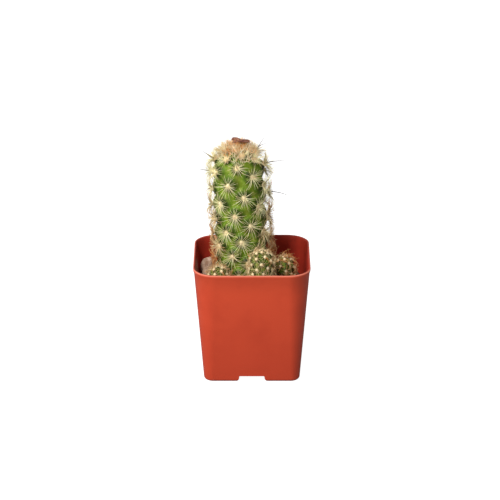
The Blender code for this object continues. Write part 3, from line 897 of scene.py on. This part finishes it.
# %% Finish: moulded plastic
def make_plastic():
    made, tree, shader, place = new_finish("terracotta_plastic")
    clouds = mottle(tree, place, 60.0, 0.45, 0.8)
    # painted light: lighter towards the rim and darker towards the foot, as the light from above
    # falls
    height = level_of(tree, place)
    painted_light_by_height = node(tree, "ShaderNodeMapRange", {"Value": height, "From Max": POT_HEIGHT})
    colour = mix(tree, painted_light_by_height.outputs["Result"], (0.44, 0.045, 0.017), (0.55, 0.062, 0.023))
    colour = mix(tree, clouds, colour, (0.43, 0.043, 0.016))
    specks = mottle(tree, place, 1400.0, 0.62, 0.74, 2.0)
    colour = blend(tree, specks, 0.12, colour, (0.56, 0.10, 0.05))
    # painted highlight: a thin pale band along the top of the rim, where its rounded edge catches
    # light
    rim = node(tree, "ShaderNodeMapRange", {
        "Value": height, "From Min": POT_HEIGHT - 0.9 * MM, "From Max": POT_HEIGHT, "To Max": 0.7})
    colour = mix(tree, rim.outputs["Result"], colour, (0.76, 0.28, 0.19))
    # painted shade: everything inside the pot, from the top of the rim down, is darkened to a deep
    # red
    painted_inner_shade = mix(tree, mottle(tree, place, 180.0), (0.30, 0.021, 0.012), (0.36, 0.025, 0.014))
    colour = blend(tree, attribute(tree, "inside"), 0.85, colour, painted_inner_shade)
    shader.inputs["Specular IOR Level"].default_value = 0.2
    dress(tree, shader, colour, mottle(tree, place, 240.0), 0.44, 0.49)
    grain_bump(tree, shader, place, 500.0, 4200.0, 0.6, 0.12, 0.0003)
    return made


plastic = make_plastic()

# %% The pot
punches = [drain_punch(x * DRAIN_OFFSET * MM, y * DRAIN_OFFSET * MM)
           for x, y in ((0, 0), (1, 0), (-1, 0), (0, 1), (0, -1))]
body = make_pot_body()
bmesh.ops.recalc_face_normals(body, faces=body.faces)
bm = cut_with(body, [channel_bar(0.0), channel_bar(math.pi / 2)] + punches)
finish_piece("nursery_pot", bm, plastic, ["pot"], sharp=32.0, turn_out=False)


# %% [markdown]
# ## Potting mix
#
# The mix is dark peat with bark crumbs and a few grains of white perlite. A fine grid is trimmed to
# the inside of the pot, raised into lumps and closed downwards; loose crumbs lie on it, because a
# smooth sheet never looks like soil.


# %% Finish: potting mix, crumbs and perlite
def make_earth(name, dark, light, roughness):
    made, tree, shader, place = new_finish(name)
    clumps = mottle(tree, place, 520.0, 0.35, 0.7, 5.0)
    colour = mix(tree, clumps, dark, light)
    fibres = mottle(tree, place, 2500.0, 0.62, 0.72, 2.0)
    colour = mix(tree, fibres, colour, tuple(c * 2.2 for c in light))
    dress(tree, shader, colour, clumps, roughness - 0.1, roughness)
    grain_bump(tree, shader, place, 900.0, 3800.0, 0.5, 0.8, 0.0008)
    return made


earth = make_earth("potting_mix", (0.020, 0.012, 0.008), (0.075, 0.044, 0.026), 0.98)
bark = make_earth("bark_crumb", (0.050, 0.028, 0.016), (0.16, 0.088, 0.045), 0.95)
perlite = make_earth("perlite", (0.62, 0.58, 0.52), (0.80, 0.77, 0.70), 0.9)


# %% The bed of potting mix
BED_CORNER = 8.2 * MM
BED_BOTTOM, BED_TAPER = 24 * MM, 0.94
CRUMB_REACH, CRUMB_CORNER = 24.6, 8  # mm


def soil_height(x, y):
    """The same lumps as the CAD solid's top, with finer ones on them."""
    lumps = 0.7 * math.sin(x / (3.1 * MM) + 0.6) * math.cos(y / (3.7 * MM))
    lumps += 0.4 * math.sin(x / (1.9 * MM) - y / (2.3 * MM))
    fine = 0.55 * noise.fractal(Vector((x, y, 0)) * 420, 1.0, 2.0, 4)
    return SOIL_LEVEL + (lumps + fine - 1.4 * x / (57 * MM)) * MM


def inside_wall(x, y, half, corner):
    """Pulls a point that is outside the rounded square back onto its edge."""
    straight = half - corner
    if abs(x) > straight and abs(y) > straight:
        away = Vector((abs(x) - straight, abs(y) - straight))
        if away.length > corner:
            away *= corner / away.length
        return math.copysign(straight + away.x, x), math.copysign(straight + away.y, y)
    return x, y


def make_bed():
    bm = bmesh.new()
    half = lerp(BASE_HALF, RIM_HALF, SOIL_LEVEL / POT_HEIGHT) - WALL - 0.3 * MM
    bmesh.ops.create_grid(bm, x_segments=110, y_segments=110, size=half)
    for vert in bm.verts:
        x, y = inside_wall(vert.co.x, vert.co.y, half, BED_CORNER)
        vert.co = (x, y, soil_height(x, y))
    border = [e for e in bm.edges if e.is_boundary]
    down = bmesh.ops.extrude_edge_only(bm, edges=border)["geom"]
    skirt = [v for v in down if isinstance(v, bmesh.types.BMVert)]
    for vert in skirt:
        vert.co = (vert.co.x * BED_TAPER, vert.co.y * BED_TAPER, BED_BOTTOM)
    bmesh.ops.holes_fill(bm, edges=[e for e in bm.edges if e.is_boundary])
    return bm


finish_piece("potting_mix_bed", make_bed(), earth, ["potting_mix"])


# %% Crumbs on the bed
crumb = make_ball("crumb", 1, values=())


def clear_of_stems(x, y):
    """Whether a place on the bed is outside every stem."""
    for stem in [main] + pups:
        share = (SOIL_LEVEL - stem.foot[2]) / (stem.tip[2] - stem.foot[2])
        middle = lerp(stem.foot, stem.tip, share)
        if math.hypot(x - middle[0], y - middle[1]) < stem.radius:
            return False
    return True


def scatter(count, small, large, flat):
    """Small uneven bits all over the bed, partly sunk in it."""
    bm = bmesh.new()
    crumb_mesh, crumb_shape = crumb
    for _ in range(count):
        x, y = rng.uniform(-CRUMB_REACH, CRUMB_REACH, 2) * MM
        x, y = inside_wall(x, y, CRUMB_REACH * MM, CRUMB_CORNER * MM)
        size = rng.uniform(small, large) * MM
        if not clear_of_stems(x, y):
            continue
        axes = np.array([rng.uniform(0.7, 1.5), rng.uniform(0.6, 1.0), rng.uniform(flat, 0.9)])
        bit = crumb_shape * axes * size * rng.uniform(0.75, 1.2, (len(crumb_shape), 1))
        spin = np.array(Matrix.Rotation(rng.uniform(0, math.tau), 3, "Z")
                        @ Matrix.Rotation(rng.normal(0, 0.5), 3, "X"))
        level = soil_height(x, y) + size * 0.25
        add_copy(bm, crumb_mesh, bit @ spin.T + np.array([x, y, level]))
    return bm


crumbs = scatter(count=900, small=0.35, large=1.3, flat=0.35)
finish_piece("bark_crumbs", crumbs, bark, sharp=35.0, turn_out=False)
grains = scatter(count=60, small=0.4, large=1.0, flat=0.6)
finish_piece("perlite_grains", grains, perlite, sharp=50.0, turn_out=False)


# %% [markdown]
# ## Grit
#
# The stones are chips of soft rock with flat broken faces and worn edges. A fine ball is cut back
# by planes in random directions, which leaves the broken faces, and is then roughened. Each stone
# takes its place and size from its CAD node's box.


# %% Finish: stone
def make_stone_finish():
    made, tree, shader, place = new_finish("pumice")
    patches = mottle(tree, place, 240.0, 0.3, 0.7, 4.0)
    colour = mix(tree, patches, (0.33, 0.19, 0.115), (0.55, 0.38, 0.27))
    dust = mottle(tree, place, 900.0, 0.5, 0.75, 4.0)
    colour = mix(tree, dust, colour, (0.70, 0.54, 0.42))
    pits = mottle(tree, place, 1700.0, 0.62, 0.70, 2.0)
    colour = mix(tree, pits, colour, (0.16, 0.085, 0.06))
    dress(tree, shader, colour, patches, 0.82, 0.97)
    grain_bump(tree, shader, place, 900.0, 3000.0, 0.5, 0.7, 0.0007)
    return made


stone_finish = make_stone_finish()


# %% The stones
BROKEN_FACES = 13
NEAREST_FACE, FURTHEST = 0.86, 1.06  # from a stone's middle, as shares of half its box


def make_stone(cad_name):
    low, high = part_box(cad_name)
    centre, half = (low + high) / 2, (high - low) / 2
    bm = bmesh.new()
    bmesh.ops.create_icosphere(bm, subdivisions=5, radius=1.0)
    planes = [Vector(rng.normal(0, 1, 3)).normalized() for _ in range(BROKEN_FACES)]
    for vert in bm.verts:
        way = vert.co.normalized()
        reach = min([NEAREST_FACE / max(way.dot(n), 0.05) for n in planes] + [FURTHEST])
        rough = 1 + 0.05 * noise.fractal(way * 2.2 + centre * 700, 1.0, 2.0, 5)
        rough += 0.012 * noise.noise(way * 14 + centre * 300)
        vert.co = way * reach * rough
    bmesh.ops.smooth_vert(bm, verts=bm.verts, factor=0.5, use_axis_x=True, use_axis_y=True,
                          use_axis_z=True)
    bmesh.ops.scale(bm, verts=bm.verts, vec=half * 1.02)
    bmesh.ops.translate(bm, verts=bm.verts, vec=centre)
    finish_piece(cad_name + "_chip", bm, stone_finish, [cad_name], sharp=180.0)


for cad_name in sorted(name for name in nodes if name.startswith("stone_")):
    make_stone(cad_name)


# %% [markdown]
# ## Dried flowers
#
# Old flowers shrivel into thin brown tubes that stay on the crown. Each is a cone cut into rings,
# creased lengthwise and bent, with a flared end.


# %% Finish and pieces: dried flowers
def make_husk_finish():
    made, tree, shader, place = new_finish("dried_flower")
    patches = mottle(tree, place, 700.0, 0.3, 0.7, 4.0)
    colour = mix(tree, patches, (0.10, 0.028, 0.018), (0.30, 0.115, 0.065))
    dress(tree, shader, colour, patches, 0.6, 0.85)
    grain_bump(tree, shader, place, 1500.0, 5000.0, 0.5, 0.7, 0.0004)
    return made


husk = make_husk_finish()


def make_flower(cad_name, turn):
    low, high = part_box(cad_name)
    centre = (low + high) / 2
    length = (high - low).xy.length
    bm = bmesh.new()
    bmesh.ops.create_cone(bm, cap_ends=True, segments=20, radius1=0.55, radius2=0.9, depth=1.0)
    cut_across(bm, 15)
    for vert in bm.verts:
        share = vert.co.z + 0.5
        round_ = math.atan2(vert.co.y, vert.co.x)
        crease = 1 + 0.22 * math.sin(5 * round_ + 4 * share) + 0.1 * math.sin(9 * round_ + 2)
        waist = 0.5 + 0.6 * math.sin(share * math.pi) ** 0.7 + 0.35 * share**3
        wide = Vector((vert.co.x, vert.co.y)).length * crease * waist
        vert.co = Vector((
            (share - 0.5) * length,
            wide * math.cos(round_) * MM,
            wide * math.sin(round_) * 0.8 * MM - 1.2 * MM * (share - 0.45) ** 2,
        ))
    bmesh.ops.rotate(bm, verts=bm.verts, matrix=Matrix.Rotation(turn, 3, "Z"))
    bmesh.ops.translate(bm, verts=bm.verts, vec=centre)
    finish_piece(cad_name + "_husk", bm, husk, [cad_name], sharp=50.0)


make_flower("dried_flower_1", math.radians(12))
make_flower("dried_flower_2", math.radians(150))


# %% [markdown]
# ## Floor, light and camera
#
# The setting is a plain white studio: a glowing floor like a light table, a bright even surround
# and two soft lights, a small key light high at the front left and a wider one at the left side.
# The camera is a long lens that looks down at about 21 degrees.


# %% Floor and surround
def make_floor():
    """White to the camera, and nearly dark as a light, so that it doesn't wash out the pot."""
    bm = bmesh.new()
    bmesh.ops.create_grid(bm, x_segments=1, y_segments=1, size=3.0)
    mesh = mesh_from("floor", bm)
    finish, tree, shader, _ = new_finish("studio_floor")
    shader.inputs["Base Color"].default_value = (0.25, 0.25, 0.25, 1.0)
    shader.inputs["Roughness"].default_value = 0.9
    shader.inputs["Emission Color"].default_value = (1.0, 1.0, 1.0, 1.0)
    seen = node(tree, "ShaderNodeLightPath").outputs["Is Camera Ray"]
    glow = node(tree, "ShaderNodeMapRange", {"Value": seen, "To Min": 0.1, "To Max": 1.0})
    tree.links.new(glow.outputs["Result"], shader.inputs["Emission Strength"])
    mesh.materials.append(finish)
    obj = new_object("floor", mesh)


make_floor()


def make_world():
    """White to the camera, dimmer as a light, so that the key light still shapes the spines."""
    world = bpy.data.worlds.new("studio")
    scene.world = world
    world.use_nodes = True
    tree = world.node_tree
    seen = node(tree, "ShaderNodeLightPath").outputs["Is Camera Ray"]
    strength = node(tree, "ShaderNodeMapRange", {"Value": seen, "To Min": 0.3, "To Max": 1.1})
    backdrop = tree.nodes["Background"]
    backdrop.inputs["Color"].default_value = (1.0, 1.0, 1.0, 1.0)
    tree.links.new(strength.outputs["Result"], backdrop.inputs["Strength"])


make_world()
scene.view_settings.view_transform = "Standard"


# %% Lights
LIT_HEIGHT = 60 * MM


def aim_object(obj, place, way):
    obj.location = place
    obj.rotation_mode = "QUATERNION"
    obj.rotation_quaternion = way.to_track_quat("-Z", "Y")


def soft_light(name, place, size, power):
    data = bpy.data.lights.new(name, "AREA")
    data.shape = "SQUARE"
    data.size = size
    data.energy = power
    aim_object(new_object(name, data), place, Vector((0, 0, LIT_HEIGHT)) - Vector(place))


soft_light("key", (-0.30, -0.80, 0.89), size=0.16, power=10.6)
soft_light("side", (-0.87, -0.61, 0.81), size=0.5, power=11.5)

# %% Camera
CAMERA_PITCH = math.radians(20.9)
CAMERA_DISTANCE = 1.14
AIM_LEFT, AIM_HEIGHT = 0.9 * MM, 60.2 * MM
camera_data = bpy.data.cameras.new("camera")
camera_data.lens = 167.5
camera_data.sensor_width = 36.0
camera = new_object("camera", camera_data)
centre = (cad_low + cad_high) / 2
aim = Vector((centre.x - AIM_LEFT, centre.y, AIM_HEIGHT))
back = Vector((0, -math.cos(CAMERA_PITCH), math.sin(CAMERA_PITCH)))
aim_object(camera, aim + back * CAMERA_DISTANCE, -back)
scene.camera = camera

# %% Clearing away the templates, and the end
for mesh, _ in (needle, hair, tuft, crumb):
    bpy.data.meshes.remove(mesh)
